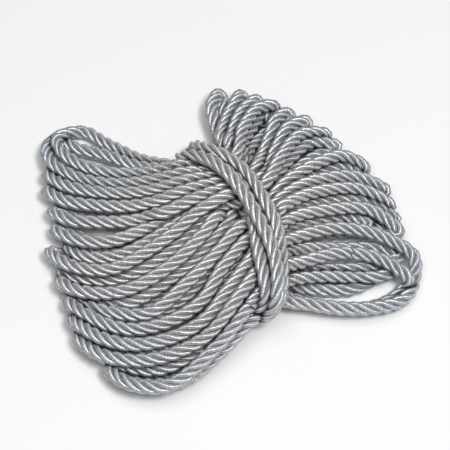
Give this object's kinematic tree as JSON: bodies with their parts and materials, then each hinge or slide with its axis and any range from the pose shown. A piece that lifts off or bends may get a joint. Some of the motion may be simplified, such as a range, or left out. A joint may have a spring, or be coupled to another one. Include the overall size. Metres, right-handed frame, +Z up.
{
  "type": "hank of twisted cord trim",
  "caption": "Hank of plied satin cord trim in fanned lobes of open loops, bound round its waist with the same cord; it lies flat.",
  "frame": {"origin": "on the surface that the hank lies on, under the middle of its outline", "axes": "+Z up, +X along the hank's length from its broad lobe to its fanned lobe, +Y to the back"},
  "size_m": [0.1351, 0.1267, 0.024],
  "materials": {
    "hank_cord": "silver-grey satin yarn in four plies, with thin bright lines along each ply",
    "tie_cord": "the same silver-grey satin yarn, drawn tighter, so its plies lie straighter"
  },
  "bodies": {
    "root": {"hank": "hank_cord", "tie": "tie_cord"}
  },
  "joints": []
}
